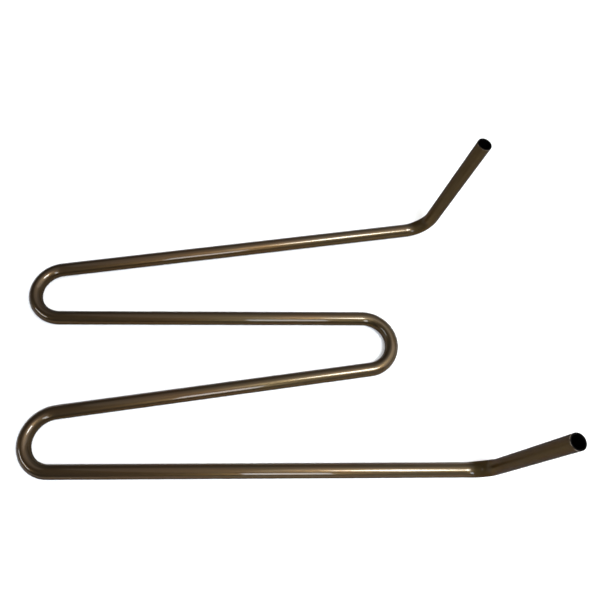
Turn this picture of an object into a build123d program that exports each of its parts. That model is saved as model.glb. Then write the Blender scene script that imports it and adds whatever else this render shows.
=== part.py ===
from build123d import *
from dataclasses import dataclass
from math import ceil, cos, pi
import os

# A bare steel tube, bent cold into a flat serpentine: four runs joined by three return
# bends, with both ends turned up out of the flat as open stubs.
#
# Millimetres, +Z up. The serpentine lies on Z = 0 with its stubs standing, run 1 goes
# along -X from the foot of stub A, and the origin is under the middle of the outline.

# Tube stock
outside_diameter = 8.0
wall = 0.7
deburr = 0.12  # bevel on both rims of a cut end

# The bender's tooling. One round former makes all five bends.
bend_radius = 16.0  # to the tube's centreline, midway round a bend
return_turn = 172.0  # degrees, so that neighbouring runs fan out by 8
stub_turn = 80.0  # degrees, so that a stub leans out by 10
return_flattening = 0.05  # share of the diameter lost across the bend, and gained the other way
stub_flattening = 0.07
# Springback: the share by which a return bend starts tighter, and ends wider, than the former
opening_1 = 0.09
opening_2 = 0.10
opening_3 = -0.04

# Straight lengths between the bends
stub_a_length = 65.0
run_1_length = 221.0
run_2_length = 177.0
run_3_length = 178.5
run_4_length = 214.5
stub_b_length = 68.5

# A bend is drawn in spans that turn no further than this, in degrees
longest_span = 35.0


@dataclass
class Bend:
    """A row of the bending schedule: feed the tube, roll it in its collet, then bend it."""
    feed: float
    roll: float
    turn: float
    flattening: float
    opening: float

bending_schedule = [
    Bend(stub_a_length, 0, stub_turn, stub_flattening, 0),
    Bend(run_1_length, 90, return_turn, return_flattening, opening_1),
    Bend(run_2_length, 180, return_turn, return_flattening, opening_2),
    Bend(run_3_length, 180, return_turn, return_flattening, opening_3),
    Bend(run_4_length, -90, stub_turn, stub_flattening, 0),
]

def cross_section(radius: float, narrowing: float) -> Face:
    """The tube's outline, narrowed towards the former and widened across it: three arcs."""
    arcs = []
    for start in (0, 120, 240):
        if narrowing == 0:
            arcs.append(Edge.make_circle(radius, start_angle=start, end_angle=start + 120))
        else:
            wide, narrow = radius + narrowing, radius - narrowing
            arcs.append(Edge.make_ellipse(wide, narrow, start_angle=start, end_angle=start + 120))
    return Rot(0, 0, 90) * Face(Wire(arcs))

def onward(radius: float, turn: float) -> Location:
    """Where the tube is after a turn of a radius. It travels along +Z, and bends towards +X."""
    return Pos(radius, 0, 0) * Rot(0, turn, 0) * Pos(-radius, 0, 0)

def bent_rod(bend: Bend, radius: float) -> tuple[Part, Location]:
    """One bend, as short spans whose radius opens up, and the place where it ends.

    The oval grows and dies away smoothly at the two ends of the bend.
    """
    count = ceil(bend.turn / longest_span)
    turn = bend.turn / count
    spans = []
    place = Location()
    for i in range(count):
        radius_here = bend_radius * (1 + bend.opening * (2 * (i + 0.5) / count - 1))
        outlines = []
        for step in (0, 0.5, 1):
            grown = 1 - cos(pi * (i + step) / count) ** 4
            outline = cross_section(radius, outside_diameter / 2 * bend.flattening * grown)
            outlines.append(place * onward(radius_here, turn * step) * outline)
        arc = Plane.XZ * JernArc((0, 0), (0, 1), radius_here, -turn)
        spans.append(sweep(outlines, path=place * arc, multisection=True))
        place = place * onward(radius_here, turn)
    return Part() + spans, place

def serpentine_rod(radius: float) -> Part:
    """A solid rod of the radius, taken through the whole schedule from mouth A to mouth B."""
    place = Rot(0, 270 - stub_turn, 0)  # at mouth A, heading down stub A
    stretches = []
    for bend in bending_schedule:
        stretches.append(place * extrude(cross_section(radius, 0), bend.feed))
        place = place * Pos(0, 0, bend.feed) * Rot(0, 0, bend.roll)
        bent, end = bent_rod(bend, radius)
        stretches.append(place * bent)
        place = place * end
    stretches.append(place * extrude(cross_section(radius, 0), stub_b_length))
    return Part() + stretches

def serpentine_tube() -> Part:
    """The rod of the outside diameter, bored from mouth to mouth and deburred at both."""
    tube = serpentine_rod(outside_diameter / 2) - serpentine_rod(outside_diameter / 2 - wall)
    mouths = tube.faces().filter_by(GeomType.PLANE)
    tube = chamfer(mouths.edges(), deburr)
    outline = tube.bounding_box()
    return Pos(-outline.center().X, -outline.center().Y, -outline.min.Z) * tube


os.makedirs("parts", exist_ok=True)
export_step(serpentine_tube(), "parts/serpentine_tube.step")
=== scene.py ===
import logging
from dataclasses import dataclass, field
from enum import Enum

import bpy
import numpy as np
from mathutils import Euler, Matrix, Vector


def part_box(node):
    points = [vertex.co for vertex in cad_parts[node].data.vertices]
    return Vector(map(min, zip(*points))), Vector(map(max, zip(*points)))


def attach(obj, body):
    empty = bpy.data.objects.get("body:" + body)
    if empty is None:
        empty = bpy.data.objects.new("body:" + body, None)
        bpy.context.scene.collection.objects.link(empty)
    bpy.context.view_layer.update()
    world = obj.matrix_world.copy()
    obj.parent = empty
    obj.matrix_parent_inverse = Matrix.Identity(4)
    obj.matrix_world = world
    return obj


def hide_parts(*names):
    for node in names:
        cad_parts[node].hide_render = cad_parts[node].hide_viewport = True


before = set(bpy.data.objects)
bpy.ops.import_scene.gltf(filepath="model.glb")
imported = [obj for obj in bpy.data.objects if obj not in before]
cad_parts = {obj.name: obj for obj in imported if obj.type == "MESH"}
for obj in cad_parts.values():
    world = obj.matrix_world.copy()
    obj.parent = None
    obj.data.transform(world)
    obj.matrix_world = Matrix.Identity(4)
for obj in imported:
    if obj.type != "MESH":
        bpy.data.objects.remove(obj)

# A bare steel tube bent into a flat serpentine, with both open ends turned up as stubs.
#
# The imported CAD tube is shown as one finely meshed shell. A bending schedule carries the wall's
# rings along the tube, so the shell lies on the CAD surface. On top of the CAD it has what cold
# bending does to the metal: folds inside the bends, a browned skin and worn, cut rims. The skin's
# colour also carries painted shade on the flanks, on the left, up the stubs, inside the bends, in
# the folds and in the bore, and the pale colour of the worn rims is partly a painted highlight.
# Lengths are millimetres until the mesh is made, and metres from there on, apart from the mesh's
# own attributes drawn and behind_rim, which stay in millimetres along the tube.

logging.basicConfig(level=logging.INFO, format="%(levelname)s %(message)s", force=True)
log = logging.getLogger("serpentine")

MM = 0.001
NODE = "serpentine_tube"
Colour = tuple[float, float, float, float]


class Kind(Enum):
    """What a stretch of the tube is."""

    STRAIGHT = "straight"
    RETURN_BEND = "return bend"
    STUB_BEND = "stub bend"


# ---------------------------------------------------------------- the tube's size and shape


@dataclass(frozen=True)
class Stock:
    """The drawn tube before it is bent."""

    outer: float = 4.0
    wall: float = 0.7
    deburr: float = 0.12

    @property
    def inner(self) -> float:
        """The radius of the bore.

        Returns:
            The outside radius less the wall, in millimetres.
        """
        return self.outer - self.wall


@dataclass(frozen=True)
class Bend:
    """A row of the bending schedule: feed the tube, roll it in its collet, then bend it."""

    feed: float
    roll: float
    turn: float
    flattening: float
    opening: float
    kind: Kind


@dataclass(frozen=True)
class Schedule:
    """The whole run of the bender, from mouth A to mouth B. Turns are in degrees.

    A bend is drawn in equal spans. Springback makes its first spans tighter, and its last
    wider, than the former, by the bend's opening.
    """

    radius: float = 16.0
    longest_span: float = 35.0
    first_heading: float = 190.0
    last_feed: float = 68.5
    bends: tuple[Bend, ...] = (
        Bend(65.0, 0.0, 80.0, 0.07, 0.0, Kind.STUB_BEND),
        Bend(221.0, 90.0, 172.0, 0.05, 0.09, Kind.RETURN_BEND),
        Bend(177.0, 180.0, 172.0, 0.05, 0.10, Kind.RETURN_BEND),
        Bend(178.5, 180.0, 172.0, 0.05, -0.04, Kind.RETURN_BEND),
        Bend(214.5, -90.0, 80.0, 0.07, 0.0, Kind.STUB_BEND),
    )


@dataclass(frozen=True)
class Stretch:
    """One straight, or one span of a bend, placed along the tube.

    first and last are the shares of the whole bend at which the span starts and ends.
    """

    start: float
    length: float
    curvature: float
    rolled: float
    flattening: float
    kind: Kind
    place: np.ndarray
    bend: int = -1
    first: float = 0.0
    last: float = 0.0


@dataclass(frozen=True)
class Rings:
    """Frames along the tube, one row each: where the axis is and which way the wall faces."""

    centre: np.ndarray
    inward: np.ndarray
    across: np.ndarray
    rolled: np.ndarray
    share: np.ndarray
    narrowing: np.ndarray
    bend: np.ndarray


def turned(axis: str, degrees: float) -> np.ndarray:
    """A rotation about one of the local axes.

    Args:
        axis: "y" for a bend, "z" for a roll of the tube in its collet.
        degrees: How far it turns.

    Returns:
        The rotation as a 4 by 4 matrix.
    """
    c, s = np.cos(np.radians(degrees)), np.sin(np.radians(degrees))
    out = np.eye(4)
    about_y = [[c, 0, s], [0, 1, 0], [-s, 0, c]]
    about_z = [[c, -s, 0], [s, c, 0], [0, 0, 1]]
    out[:3, :3] = about_y if axis == "y" else about_z
    return out


def moved(x: float, z: float) -> np.ndarray:
    """A move along the local X and Z axes.

    Args:
        x: The move along X, in millimetres.
        z: The move along Z, in millimetres.

    Returns:
        The move as a 4 by 4 matrix.
    """
    out = np.eye(4)
    out[0, 3], out[2, 3] = x, z
    return out


class Centreline:
    """The tube's axis, walked through the schedule, with its stretches kept for lookup."""

    def __init__(self, schedule: Schedule, stock: Stock) -> None:
        """Walks the schedule once and stores the stretches.

        Args:
            schedule: The bender's program.
            stock: The tube that is bent.
        """
        self.schedule = schedule
        self.stock = stock
        self.stretches: list[Stretch] = []
        place, start, rolled = turned("y", schedule.first_heading), 0.0, 0.0
        for number, bend in enumerate(schedule.bends):
            self.stretches.append(Stretch(start, bend.feed, 0.0, rolled, 0.0, Kind.STRAIGHT, place))
            start, rolled = start + bend.feed, rolled + bend.roll
            place = place @ moved(0, bend.feed) @ turned("z", bend.roll)
            count = int(np.ceil(bend.turn / schedule.longest_span))
            for i in range(count):
                radius = schedule.radius * (1 + bend.opening * (2 * (i + 0.5) / count - 1))
                length = radius * np.radians(bend.turn / count)
                self.stretches.append(
                    Stretch(start, length, 1 / radius, rolled, bend.flattening, bend.kind, place,
                            number, i / count, (i + 1) / count)
                )
                start += length
                place = place @ moved(radius, 0) @ turned("y", bend.turn / count) @ moved(-radius, 0)
        self.stretches.append(Stretch(start, schedule.last_feed, 0.0, rolled, 0.0, Kind.STRAIGHT, place))
        self.length = start + schedule.last_feed

    def rings(self, along: np.ndarray) -> Rings:
        """Frames at distances along the tube.

        On a straight the axis runs on by d. On a bend of curvature k the axis is at
        (1 - cos kd) / k towards the former and sin kd / k onwards, and the frame turns by kd.
        The oval's share of the diameter is 1 - cos(pi * share of the bend) ** 4.

        Args:
            along: Distances from mouth A, in millimetres.

        Returns:
            The frames, one row for each distance.
        """
        starts = np.array([s.start for s in self.stretches])
        index = np.clip(np.searchsorted(starts, along, side="right") - 1, 0, len(starts) - 1)
        pick = lambda values: np.array(values)[index]
        d = along - starts[index]
        k = pick([s.curvature for s in self.stretches])
        bent = k > 0
        safe = np.where(bent, k, 1.0)
        zero, one = np.zeros_like(d), np.ones_like(d)
        sideward = np.where(bent, (1 - np.cos(k * d)) / safe, 0.0)
        onward = np.where(bent, np.sin(k * d) / safe, d)
        local = np.stack([sideward, zero, onward], -1)
        towards = np.stack([np.cos(k * d), zero, -np.sin(k * d)], -1)
        sideways = np.stack([zero, one, zero], -1)
        place = pick([s.place for s in self.stretches])
        turn = lambda vectors: np.einsum("nij,nj->ni", place[:, :3, :3], vectors)
        first, last = pick([s.first for s in self.stretches]), pick([s.last for s in self.stretches])
        share = first + (last - first) * d / pick([s.length for s in self.stretches])
        grown = 1 - np.cos(np.pi * np.clip(share, 0, 1)) ** 4
        return Rings(
            centre=turn(local) + place[:, :3, 3],
            inward=turn(towards),
            across=turn(sideways),
            rolled=np.radians(pick([s.rolled for s in self.stretches])),
            share=share,
            narrowing=self.stock.outer * pick([s.flattening for s in self.stretches]) * grown,
            bend=pick([s.bend for s in self.stretches]),
        )


@dataclass(frozen=True)
class Fold:
    """A shallow fold or tool mark that bending presses into the wall.

    It lies at a share of the bend and at an angle from the innermost line of the tube. run and
    spread are its half widths, along as a share of the bend and round the tube in radians.
    """

    bend: int
    share: float
    angle: float
    depth: float
    run: float
    spread: float


FOLDS: tuple[Fold, ...] = (
    Fold(0, 0.42, 0.0, 0.05, 0.12, 0.50),
    Fold(1, 0.20, 0.10, 0.03, 0.035, 0.50),
    Fold(1, 0.80, 0.10, 0.01, 0.030, 0.50),
    Fold(2, 0.30, 0.05, 0.015, 0.03, 0.50),
    Fold(4, 0.58, 0.0, 0.06, 0.12, 0.50),
)


@dataclass
class TubeShell:
    """The tube's whole wall as one closed skin: outside, rim B, bore, rim A."""

    centreline: Centreline
    around: int = 64
    bend_pitch: float = 0.45
    straight_pitch: float = 2.6
    bore_bend_pitch: float = 1.6
    bore_straight_pitch: float = 7.5
    rim_steps: int = 5
    rim_rings: tuple[float, ...] = (0.35, 0.7, 1.1, 1.6)
    rim_reach: float = 2.0
    full_pinch: float = 0.1
    full_oval: float = 0.05

    def distances(self, bend_pitch: float, straight_pitch: float) -> np.ndarray:
        """Distances along the tube at which a skin has its rings.

        Args:
            bend_pitch: The step along a bend, in millimetres.
            straight_pitch: The step along a straight, in millimetres.

        Returns:
            Distances from mouth A in rising order, without the two ends' edge breaks.
        """
        deburr, length = self.centreline.stock.deburr, self.centreline.length
        spans = []
        for s in self.centreline.stretches:
            pitch = straight_pitch if s.kind is Kind.STRAIGHT else bend_pitch
            steps = int(np.ceil(s.length / pitch))
            spans.append(s.start + s.length * np.linspace(0, 1, steps, endpoint=False))
        every = np.concatenate(spans)
        near = np.array([deburr, *self.rim_rings])
        inside = every[(every > self.rim_reach) & (every < length - self.rim_reach)]
        return np.concatenate([near, inside, length - near[::-1]])

    def rim(self) -> tuple[np.ndarray, np.ndarray]:
        """The cut end between the outside and the bore, as setback and radius.

        The two edges are broken by the deburring tool and slightly rounded over.

        Returns:
            How far each ring lies behind the cut, and its radius, from outside to bore.
        """
        stock = self.centreline.stock
        quarter = np.linspace(0, np.pi / 2, self.rim_steps + 1)
        setback = stock.deburr * (1 - np.sin(quarter))
        outside = stock.outer - stock.deburr * (1 - np.cos(quarter))
        bore = stock.inner + stock.deburr * (1 - np.cos(quarter[::-1]))
        middle = np.array([(stock.outer + stock.inner) / 2])
        return (
            np.concatenate([setback[1:], np.zeros(1), setback[::-1][:-1]]),
            np.concatenate([outside[1:], middle, bore[:-1]]),
        )

    def profile(self) -> tuple[np.ndarray, np.ndarray, np.ndarray]:
        """The rings of the closed skin in order, starting on the outside at mouth A.

        Returns:
            Distance along, radius, and 1 on the bore and the cut or 0 outside, for each ring.
        """
        stock, length = self.centreline.stock, self.centreline.length
        out = self.distances(self.bend_pitch, self.straight_pitch)
        bore = self.distances(self.bore_bend_pitch, self.bore_straight_pitch)[::-1]
        setback, radius = self.rim()
        along = np.concatenate([out, length - setback, bore, setback[::-1]])
        outside, inner = np.full(len(out), stock.outer), np.full(len(bore), stock.inner)
        radii = np.concatenate([outside, radius, inner, radius[::-1]])
        cut = np.clip((stock.outer - radius) / stock.deburr, 0, 1)
        inside = np.concatenate([np.zeros(len(out)), cut, np.ones(len(bore)), cut[::-1]])
        return along, radii, inside

    def folded(self, rings: Rings, angle: np.ndarray) -> np.ndarray:
        """How deep the bending folds press the wall in.

        Each fold is a bell along the bend and a bell round the tube, with low lips before and
        after it: depth * (1 - 0.5 * t ** 2) * exp(-t ** 2 / 2) * exp(-a ** 2 / 2), where t and a
        are the distances from its middle in its own half widths.

        Args:
            rings: The frames of the skin.
            angle: The wall's angle from the inside of the bend, rings by points around.

        Returns:
            The depth in millimetres, rings by points around.
        """
        depth = np.zeros_like(angle)
        for fold in FOLDS:
            here = (rings.bend == fold.bend).astype(float)[:, None]
            a = np.angle(np.exp(1j * (angle - fold.angle))) / fold.spread
            t = (rings.share - fold.share)[:, None] / fold.run
            depth += here * fold.depth * (1 - 0.5 * t**2) * np.exp(-(t**2) / 2) * np.exp(-(a**2) / 2)
        return depth

    def build(self, low: Vector) -> bpy.types.Object:
        """Makes the mesh and sets its box's lowest corner on the CAD part's.

        Args:
            low: The lowest corner of the CAD part, in metres.

        Returns:
            The tube, with its finish attributes, at the origin and unturned.
        """
        along, radius, inside = self.profile()
        rings = self.centreline.rings(along)
        lengthwise = np.linspace(0, 2 * np.pi, self.around, endpoint=False)
        angle = lengthwise[None, :] - rings.rolled[:, None]
        r = radius[:, None] - self.folded(rings, angle)
        x = (r - rings.narrowing[:, None]) * np.cos(angle)
        y = (r + rings.narrowing[:, None]) * np.sin(angle)
        points = rings.centre[:, None] + x[..., None] * rings.inward[:, None]
        points = points + y[..., None] * rings.across[:, None]
        points = points.reshape(-1, 3) * MM
        points += np.array(low) - points.min(0)

        row = np.arange(len(along))[:, None] * self.around
        nxt = np.roll(np.arange(len(along)), -1)[:, None] * self.around
        col = np.arange(self.around)[None, :]
        right = np.roll(np.arange(self.around), -1)[None, :]
        quads = np.stack([row + col, row + right, nxt + right, nxt + col], -1).reshape(-1, 4)

        mesh = bpy.data.meshes.new(NODE + "_wall")
        mesh.from_pydata(points.tolist(), [], quads.tolist())
        mesh.polygons.foreach_set("use_smooth", np.ones(len(quads), bool))
        tube = bpy.data.objects.new("tube_wall", mesh)
        bpy.context.scene.collection.objects.link(tube)

        flat = lambda values: np.broadcast_to(values, angle.shape).astype(np.float32).ravel()
        drawn = np.stack([flat(along[:, None]), flat(radius[:, None] * np.cos(lengthwise)),
                          flat(radius[:, None] * np.sin(lengthwise))], -1)
        mesh.attributes.new("drawn", "FLOAT_VECTOR", "POINT").data.foreach_set("vector", drawn.ravel())
        behind = np.minimum(along, self.centreline.length - along)[:, None]
        self.mark(mesh, "behind_rim", flat(behind))
        # bore also sets where the bore is painted near-black as shade, and the cut rim face dark as
        # oxide
        self.mark(mesh, "bore", flat(inside[:, None]))
        # upward also sets where the painted shade on the flanks lies
        upward = np.cos(angle) * rings.inward[:, 2:] + np.sin(angle) * rings.across[:, 2:]
        self.mark(mesh, "upward", flat(upward))
        # pinched also sets the painted shade in the folds
        self.mark(mesh, "pinched", flat(np.clip(self.folded(rings, angle) / self.full_pinch, -1, 1)))
        worked = (rings.narrowing / self.centreline.stock.outer / self.full_oval)[:, None]
        self.mark(mesh, "worked", flat(worked))
        # squeezed also sets the painted shade inside the bends
        self.mark(mesh, "squeezed", flat(worked * np.cos(angle)))
        corners = np.zeros(len(mesh.loops), np.int32)
        mesh.loops.foreach_get("vertex_index", corners)
        self.unwrap(mesh, corners, along, len(quads))
        mesh.validate()
        mesh.update()
        log.info("tube wall: %d rings, %d faces", len(along), len(quads))
        log.info("tube wall: %.1f mm from mouth to mouth", self.centreline.length)
        return tube

    @staticmethod
    def mark(mesh: bpy.types.Mesh, name: str, values: np.ndarray) -> None:
        """Stores one number on each vertex for the finish to read.

        Args:
            mesh: The tube's mesh.
            name: The attribute's name.
            values: One value for each vertex.
        """
        mesh.attributes.new(name, "FLOAT", "POINT").data.foreach_set("value", values)

    def unwrap(self, mesh: bpy.types.Mesh, corners: np.ndarray, along: np.ndarray, faces: int) -> None:
        """Lays the skin out flat: u runs along the tube and v round it.

        Args:
            mesh: The tube's mesh.
            corners: The vertex at each face corner.
            along: The distance along the tube of each ring.
            faces: The number of faces.
        """
        ring, point = corners // self.around, corners % self.around
        point = point.reshape(faces, 4)
        wraps = (point.max(1) - point.min(1)) > self.around // 2
        point = np.where(wraps[:, None] & (point == 0), self.around, point).ravel()
        uv = np.stack([along[ring] / self.centreline.length, point / self.around], -1)
        mesh.uv_layers.new(name="lengthwise").data.foreach_set("uv", uv.astype(np.float32).ravel())


# ---------------------------------------------------------------------------- the finishes


@dataclass(frozen=True)
class Step:
    """A smooth step of a value: where it starts and ends, and what comes before and after."""

    start: float
    end: float
    before: float = 0.0
    after: float = 1.0


@dataclass(frozen=True)
class Grain:
    """Noise that is drawn out along the tube.

    along and across are cycles in the unit of the place that is read, detail is octaves, and
    rough is how strong the fine octaves are.
    """

    along: float
    across: float
    detail: float
    rough: float = 0.55


@dataclass(frozen=True)
class BrownedSteel:
    """The skin of an annealed and browned steel tube. Colours are linear.

    Steps that end in left, and the painted shade up the stubs, run on the place in the frame, in
    metres. Those for the painted shade on the flanks and the lacquer's top run on how far the wall
    faces up, from -1 to 1. Those for the rim, for the wear and painted highlight by mouth, and
    rough_stub run on millimetres along the tube. Much of the umber is painted shade: on the flanks,
    on the left, up the stubs, inside the bends and in the folds. The bore's near-black is painted
    shade, and the pale worn colour at the rims is real wear with a painted highlight on the bevels.
    """

    olive: Colour = (0.068, 0.0440, 0.0170, 1.0)
    bronze: Colour = (0.075, 0.0400, 0.0130, 1.0)
    # umber: the skin's own darker tone, and also the colour of the painted shade
    umber_and_painted_shade: Colour = (0.040, 0.0255, 0.0105, 1.0)
    # pale bare metal of the worn rims, partly a painted highlight on the bevels
    worn_and_highlight: Colour = (0.26, 0.22, 0.18, 1.0)
    # near-black: painted shade in the bore, and dark oxide on the cut rim face
    oxide_and_bore_shade: Colour = (0.0035, 0.003, 0.0028, 1.0)
    edge_tint: Colour = (0.32, 0.31, 0.30, 1.0)

    clouds: Grain = Grain(0.02, 0.16, 3.0)
    bands: Grain = Grain(0.006, 0.55, 2.0)
    mottle: Grain = Grain(0.35, 0.9, 4.0, 0.65)
    patches: Grain = Grain(0.9, 0.5, 3.0)
    die_lines: Grain = Grain(0.015, 7.0, 3.0, 0.6)
    tooth: Grain = Grain(2.6, 7.5, 3.0, 0.6)

    redder_left: Step = Step(-0.12, 0.06, 0.13, -0.05)
    bronze_cloud: Step = Step(0.38, 0.64)
    umber_band: Step = Step(0.50, 0.74, 0.0, 0.55)
    umber_speck: Step = Step(0.55, 0.78, 0.0, 0.30)
    umber_rim: Step = Step(1.2, 3.4, 0.35, 0.0)
    # painted shade on the flanks, stronger on the left of the frame
    painted_shade_on_flanks: Step = Step(0.15, 0.85, 0.65, 0.0)
    flank_shade_by_left: Step = Step(-0.08, 0.08, 1.0, 0.55)
    # painted shade on the left of the frame
    painted_shade_left: Step = Step(-0.14, -0.05, 0.45, 0.0)
    # painted shade up the stubs
    painted_shade_on_stubs: Step = Step(0.010, 0.030, 0.0, 0.60)
    # painted shade inside the bends
    painted_shade_in_bends: Step = Step(0.0, 0.9, 0.0, 0.65)
    # painted shade in the folds
    painted_shade_in_folds: Step = Step(0.1, 1.0, 0.0, 0.5)

    # wear at the rims with a painted highlight on the bevels, weaker at mouth B
    wear_and_highlight_reach: Step = Step(0.35, 0.65, -0.05, 0.7)
    rim_wear_and_highlight: Step = Step(-0.2, 0.15, 0.8, 0.0)
    wear_and_highlight_by_mouth: Step = Step(300.0, 800.0, 1.0, 0.35)

    rough_skin: Step = Step(0.3, 0.75, 0.285, 0.33)
    rough_line: Step = Step(0.45, 0.7, 0.0, 0.05)
    rough_bend: Step = Step(0.5, 1.35, 0.0, 0.14)
    rough_stub: Step = Step(45.0, 95.0, 0.16, 0.0)
    rough_squeezed: Step = Step(0.0, 0.9, 0.0, 0.10)
    rough_bore: float = 0.35

    lacquer_top: Step = Step(0.35, 0.85, 0.10, 0.75)
    lacquer_bend: Step = Step(1.0, 1.35, 1.0, 0.12)
    lacquer_roughness: float = 0.05

    line_share: float = 0.6
    tooth_share: float = 0.4
    relief: float = 0.05
    relief_height: float = 0.00002


@dataclass
class Nodes:
    """A small helper that writes the node tree of a material or the world."""

    owner: bpy.types.Material | bpy.types.World
    tree: bpy.types.NodeTree = field(init=False)

    def __post_init__(self) -> None:
        """Switches the owner to nodes and clears its tree."""
        self.owner.use_nodes = True
        self.tree = self.owner.node_tree
        self.tree.nodes.clear()

    def add(self, kind: str, inputs: dict | None = None, **settings: object) -> bpy.types.Node:
        """Adds a node.

        Args:
            kind: The node's type, without "ShaderNode".
            inputs: Socket values or the sockets that feed them, by socket name or number.
            settings: The node's own settings.

        Returns:
            The new node.
        """
        node = self.tree.nodes.new("ShaderNode" + kind)
        for name, value in settings.items():
            setattr(node, name, value)
        for name, value in (inputs or {}).items():
            socket = node.inputs[name]
            if isinstance(value, bpy.types.NodeSocket):
                self.tree.links.new(value, socket)
            else:
                socket.default_value = value
        return node

    def attribute(self, name: str, output: str = "Fac") -> bpy.types.NodeSocket:
        """Reads an attribute of the mesh.

        Args:
            name: The attribute's name.
            output: "Fac" for a number, "Vector" for a vector.

        Returns:
            The socket that carries it.
        """
        return self.add("Attribute", attribute_name=name).outputs[output]

    def noise(self, where: bpy.types.NodeSocket, grain: Grain) -> bpy.types.NodeSocket:
        """Noise that is drawn out along the first axis.

        Args:
            where: The place that is read.
            grain: The noise's cycles and octaves.

        Returns:
            The noise's value, from 0 to 1.
        """
        stretch = (grain.along, grain.across, grain.across)
        mapped = self.add("Mapping", {"Vector": where, "Scale": stretch}).outputs["Vector"]
        inputs = {"Vector": mapped, "Scale": 1.0, "Detail": grain.detail, "Roughness": grain.rough}
        return self.add("TexNoise", inputs).outputs["Fac"]

    def ramp(self, value: bpy.types.NodeSocket, step: Step) -> bpy.types.NodeSocket:
        """A smooth step from one value to another.

        Args:
            value: What is stepped.
            step: Where the step lies, and the values on its two sides.

        Returns:
            The stepped value.
        """
        inputs = {"Value": value, "From Min": step.start, "From Max": step.end,
                  "To Min": step.before, "To Max": step.after}
        return self.add("MapRange", inputs, interpolation_type="SMOOTHSTEP").outputs["Result"]

    def maths(self, operation: str, a: object, b: object = 0.0) -> bpy.types.NodeSocket:
        """One step of arithmetic.

        Args:
            operation: The Math node's operation.
            a: The first value or socket.
            b: The second value or socket.

        Returns:
            The result.
        """
        return self.add("Math", {0: a, 1: b}, operation=operation).outputs[0]

    def blend(self, share: bpy.types.NodeSocket, a: object, b: object) -> bpy.types.NodeSocket:
        """Mixes two colours.

        Args:
            share: How much of the second colour there is.
            a: The first colour or socket.
            b: The second colour or socket.

        Returns:
            The mixed colour.
        """
        node = self.add("Mix", {0: share, 6: a, 7: b}, data_type="RGBA")
        return node.outputs[2]


def skin_colour(nodes: Nodes, finish: BrownedSteel) -> bpy.types.NodeSocket:
    """The colour of the steel: browned skin with painted shade on the flanks, the left, the stubs, the
    bends' insides and the folds, worn rims that carry a painted highlight, and a bore painted near-black
    as shade.

    Args:
        nodes: The material's nodes.
        finish: The colours of the steel.

    Returns:
        The colour.
    """
    drawn = nodes.attribute("drawn", "Vector")
    behind, upward = nodes.attribute("behind_rim"), nodes.attribute("upward")
    pinched, squeezed = nodes.attribute("pinched"), nodes.attribute("squeezed")
    place = nodes.add("SeparateXYZ", {0: nodes.add("TexCoord").outputs["Object"]}).outputs

    redder = nodes.ramp(place["X"], finish.redder_left)
    clouds = nodes.maths("ADD", nodes.noise(drawn, finish.clouds), redder)
    skin = nodes.blend(nodes.ramp(clouds, finish.bronze_cloud), finish.olive, finish.bronze)
    # painted shade on the sideways and downward-facing flanks, weaker towards the right of the frame
    flank_shade = nodes.ramp(upward, finish.painted_shade_on_flanks)
    flank_shade = nodes.maths("MULTIPLY", flank_shade, nodes.ramp(place["X"], finish.flank_shade_by_left))
    # umber is mixed in as the skin's own tone (bands, specks, oxide by the rims) and as painted shade
    # (flanks, left, stubs, bends' insides, folds)
    tones_and_painted_shades = [
        nodes.ramp(nodes.noise(drawn, finish.bands), finish.umber_band),
        nodes.ramp(nodes.noise(drawn, finish.mottle), finish.umber_speck),
        nodes.ramp(behind, finish.umber_rim),
        flank_shade,
        # painted shade on the left of the frame
        nodes.ramp(place["X"], finish.painted_shade_left),
        # painted shade up the stubs
        nodes.ramp(place["Z"], finish.painted_shade_on_stubs),
        # painted shade inside the bends
        nodes.ramp(squeezed, finish.painted_shade_in_bends),
        # painted shade in the folds
        nodes.ramp(pinched, finish.painted_shade_in_folds),
    ]
    for darkening in tones_and_painted_shades:
        skin = nodes.blend(darkening, skin, finish.umber_and_painted_shade)

    # pale worn rims: real wear with a painted highlight on the bevels, weaker at mouth B
    reach = nodes.ramp(nodes.noise(drawn, finish.patches), finish.wear_and_highlight_reach)
    wear_and_highlight = nodes.ramp(nodes.maths("SUBTRACT", behind, reach), finish.rim_wear_and_highlight)
    from_mouth_a = nodes.add("SeparateXYZ", {0: drawn}).outputs["X"]
    wear_and_highlight = nodes.maths("MULTIPLY", wear_and_highlight, nodes.ramp(from_mouth_a, finish.wear_and_highlight_by_mouth))
    skin = nodes.blend(wear_and_highlight, skin, finish.worn_and_highlight)
    # the bore is painted near-black as shade; the cut rim face shares it as dark oxide
    return nodes.blend(nodes.attribute("bore"), skin, finish.oxide_and_bore_shade)


def skin_roughness(nodes: Nodes, finish: BrownedSteel) -> bpy.types.NodeSocket:
    """How rough the steel is under its clear layer.

    Args:
        nodes: The material's nodes.
        finish: The gloss of the steel.

    Returns:
        The roughness.
    """
    drawn = nodes.attribute("drawn", "Vector")
    rough = nodes.ramp(nodes.noise(drawn, finish.mottle), finish.rough_skin)
    added = [
        nodes.ramp(nodes.noise(drawn, finish.die_lines), finish.rough_line),
        nodes.ramp(nodes.attribute("worked"), finish.rough_bend),
        nodes.ramp(nodes.attribute("behind_rim"), finish.rough_stub),
        nodes.ramp(nodes.attribute("squeezed"), finish.rough_squeezed),
        nodes.maths("MULTIPLY", nodes.attribute("bore"), finish.rough_bore),
    ]
    for more in added:
        rough = nodes.maths("ADD", rough, more)
    return rough


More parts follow.
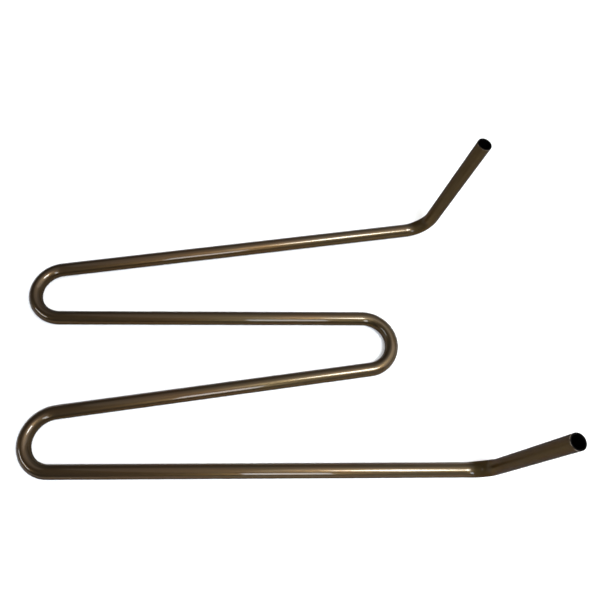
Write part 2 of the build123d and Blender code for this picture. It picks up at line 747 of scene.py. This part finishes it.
def browned_steel(finish: BrownedSteel) -> bpy.types.Material:
    """The tube's one material: browned steel with die lines under a thin clear layer.

    Args:
        finish: The colours and gloss of the steel.

    Returns:
        The material.
    """
    nodes = Nodes(bpy.data.materials.new("browned_steel"))
    drawn = nodes.attribute("drawn", "Vector")
    lacquer = nodes.ramp(nodes.attribute("upward"), finish.lacquer_top)
    stretched = nodes.ramp(nodes.attribute("worked"), finish.lacquer_bend)
    lines = nodes.maths("MULTIPLY", nodes.noise(drawn, finish.die_lines), finish.line_share)
    tooth = nodes.maths("MULTIPLY", nodes.noise(drawn, finish.tooth), finish.tooth_share)
    inputs = {"Strength": finish.relief, "Distance": finish.relief_height,
              "Height": nodes.maths("ADD", lines, tooth)}
    bump = nodes.add("Bump", inputs)
    shader = nodes.add(
        "BsdfPrincipled",
        {
            "Base Color": skin_colour(nodes, finish),
            "Metallic": 1.0,
            "Roughness": skin_roughness(nodes, finish),
            "Specular Tint": finish.edge_tint,
            "Coat Weight": nodes.maths("MULTIPLY", lacquer, stretched),
            "Coat Roughness": finish.lacquer_roughness,
            "Normal": bump.outputs["Normal"],
        },
    )
    nodes.add("OutputMaterial", {"Surface": shader.outputs["BSDF"]})
    return nodes.owner


@dataclass(frozen=True)
class Paper:
    """Matt white paper. Its glow is what a backlight adds to what is seen of it."""

    colour: Colour = (0.80, 0.80, 0.80, 1.0)
    glow: float = 0.18
    roughness: float = 0.9
    sheen: float = 0.1
    tooth: Grain = Grain(400.0, 400.0, 2.0)
    relief: float = 0.04
    relief_height: float = 0.0002


def plain_paper(paper: Paper) -> bpy.types.Material:
    """The studio floor's paper, lit a little from behind for the rays that see it.

    Args:
        paper: The paper's colour, glow and tooth.

    Returns:
        The material.
    """
    nodes = Nodes(bpy.data.materials.new("studio_paper"))
    where = nodes.add("TexCoord").outputs["Object"]
    inputs = {"Strength": paper.relief, "Distance": paper.relief_height,
              "Height": nodes.noise(where, paper.tooth)}
    bump = nodes.add("Bump", inputs)
    rays = nodes.add("LightPath").outputs
    seen = nodes.maths("MAXIMUM", rays["Is Camera Ray"], rays["Is Glossy Ray"])
    seen = nodes.maths("MAXIMUM", seen, rays["Is Transmission Ray"])
    shader = nodes.add(
        "BsdfPrincipled",
        {
            "Base Color": paper.colour,
            "Roughness": paper.roughness,
            "Specular IOR Level": paper.sheen,
            "Emission Color": (1.0, 1.0, 1.0, 1.0),
            "Emission Strength": nodes.maths("MULTIPLY", seen, paper.glow),
            "Normal": bump.outputs["Normal"],
        },
    )
    nodes.add("OutputMaterial", {"Surface": shader.outputs["BSDF"]})
    return nodes.owner


# ------------------------------------------------------------------------------ the studio


@dataclass(frozen=True)
class SoftBox:
    """A rectangular soft light that faces the middle of the tube."""

    name: str
    position: tuple[float, float, float]
    size: tuple[float, float]
    radiance: float
    colour: tuple[float, float, float] = (1.0, 1.0, 1.0)
    aim: tuple[float, float, float] = (0.0, 0.0, 0.0)

    def place(self) -> bpy.types.Object:
        """Puts the light in the scene.

        The power of a flat lamp that looks as bright as its radiance is pi * radiance * area.

        Returns:
            The light.
        """
        data = bpy.data.lights.new(self.name, "AREA")
        data.shape = "RECTANGLE"
        data.size, data.size_y = self.size
        data.color = self.colour
        data.energy = np.pi * self.radiance * self.size[0] * self.size[1]
        lamp = bpy.data.objects.new(self.name, data)
        lamp.location = Vector(self.position)
        away = Vector(self.aim) - Vector(self.position)
        lamp.rotation_euler = away.to_track_quat("-Z", "Y").to_euler()
        bpy.context.scene.collection.objects.link(lamp)
        return lamp


@dataclass
class Studio:
    """A plain white floor, soft boxes, a soft surround and the camera.

    stand is in millimetres and tilt in degrees. The surround grows along world X.
    """

    floor_size: float = 30.0
    surround: Step = Step(-0.5, 0.5, 0.18, 0.54)
    lens: float = 35.0739
    sensor: float = 36.0
    nearest: float = 0.01
    stand: tuple[float, float, float] = (10.471, -123.731, 326.371)
    tilt: tuple[float, float, float] = (24.595, -1.811, -0.561)
    boxes: tuple[SoftBox, ...] = (
        SoftBox("key", (0.205, -0.19, 0.62), (0.19, 0.20), 29.0, (0.92, 1.0, 1.06)),
        SoftBox("overhead", (0.20, 0.05, 0.90), (1.80, 1.20), 0.45, (1.05, 1.0, 0.93)),
        SoftBox("right_panel", (0.55, -0.10, 0.80), (0.90, 1.40), 1.15, (1.05, 1.0, 0.93)),
        SoftBox("front", (0.025, -0.80, 0.54), (0.18, 0.40), 9.0, (0.86, 0.98, 1.14)),
        SoftBox("left", (-0.80, -0.25, 0.47), (0.45, 0.08), 18.0, (0.88, 0.98, 1.12)),
    )

    def floor(self) -> bpy.types.Object:
        """The floor on which the flat runs lie.

        Returns:
            The floor plane.
        """
        half = self.floor_size / 2
        mesh = bpy.data.meshes.new("floor")
        corners = [(-half, -half, 0), (half, -half, 0), (half, half, 0), (-half, half, 0)]
        mesh.from_pydata(corners, [], [(0, 1, 2, 3)])
        mesh.materials.append(plain_paper(Paper()))
        floor = bpy.data.objects.new("floor", mesh)
        bpy.context.scene.collection.objects.link(floor)
        return floor

    def world(self) -> None:
        """A soft surround that grows from the left of the tube to its right."""
        world = bpy.data.worlds.new("surround")
        nodes = Nodes(world)
        towards = nodes.add("SeparateXYZ", {0: nodes.add("TexCoord").outputs["Generated"]})
        strength = nodes.ramp(towards.outputs["X"], self.surround)
        background = nodes.add("Background", {"Color": (1.0, 1.0, 1.0, 1.0), "Strength": strength})
        nodes.add("OutputWorld", {"Surface": background.outputs["Background"]})
        bpy.context.scene.world = world

    def camera(self) -> bpy.types.Object:
        """The camera, above and in front of the tube.

        Returns:
            The camera.
        """
        data = bpy.data.cameras.new("camera")
        data.lens = self.lens
        data.sensor_width = self.sensor
        data.clip_start = self.nearest
        camera = bpy.data.objects.new("camera", data)
        camera.location = Vector(self.stand) * MM
        camera.rotation_euler = Euler(np.radians(self.tilt).tolist(), "XYZ")
        bpy.context.scene.collection.objects.link(camera)
        bpy.context.scene.camera = camera
        return camera

    def set_up(self) -> None:
        """Builds the whole studio."""
        self.floor()
        self.world()
        for box in self.boxes:
            box.place()
        self.camera()
        bpy.context.scene.view_settings.view_transform = "Standard"
        log.info("studio: %d soft boxes", len(self.boxes))


def main() -> None:
    """Builds the tube and the studio."""
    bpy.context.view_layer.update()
    low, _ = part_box(NODE)
    tube = TubeShell(Centreline(Schedule(), Stock())).build(low)
    tube.data.materials.append(browned_steel(BrownedSteel()))
    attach(tube, "root")
    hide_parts(NODE)
    Studio().set_up()
    log.info("bounds written")


if __name__ == "__main__":
    main()
